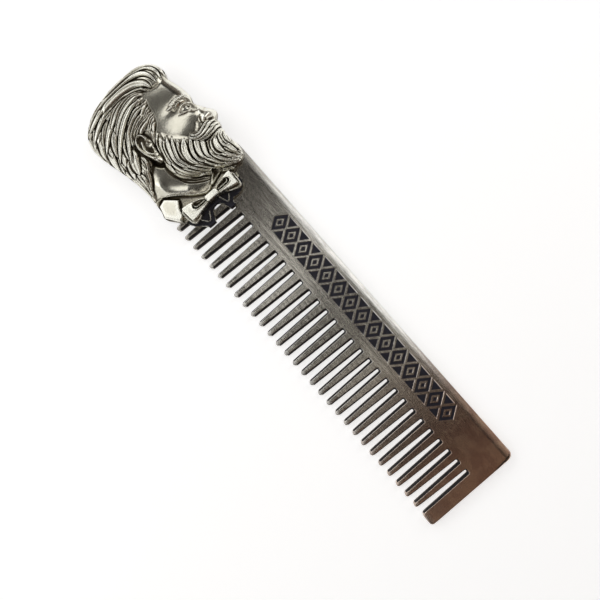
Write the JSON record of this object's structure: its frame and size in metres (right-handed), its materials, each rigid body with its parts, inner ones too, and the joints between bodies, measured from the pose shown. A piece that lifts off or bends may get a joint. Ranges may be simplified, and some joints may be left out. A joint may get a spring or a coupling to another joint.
{
  "type": "beard comb",
  "caption": "Flat steel beard comb with a solid spine, an engraved ornament band, a guard tooth and a cast relief bust at the head end.",
  "frame": {"origin": "middle of the comb's length and width, on the flat back that it lies on", "axes": "+X from the bust to the guard tooth along the comb, +Y towards the solid spine, +Z out of the decorated face"},
  "size_m": [0.127, 0.0286, 0.007],
  "materials": {
    "steel_plate": "stamped stainless plate, brushed lengthwise, warm grey with polished edges",
    "antique_silver": "cast zinc alloy, antique silver plating with dark oxide left in the recesses and polished high spots",
    "rivet_steel": "flush rivet heads, ground level with the back",
    "black_enamel": "black enamel wiped into the engraving"
  },
  "bodies": {
    "root": {"comb_spine": "steel_plate", "comb_teeth": "steel_plate", "guard_tooth": "steel_plate", "bust_casting": "antique_silver", "bust_rivets": "rivet_steel", "engraving_enamel": "black_enamel", "waistcoat_enamel": "black_enamel"}
  },
  "joints": []
}
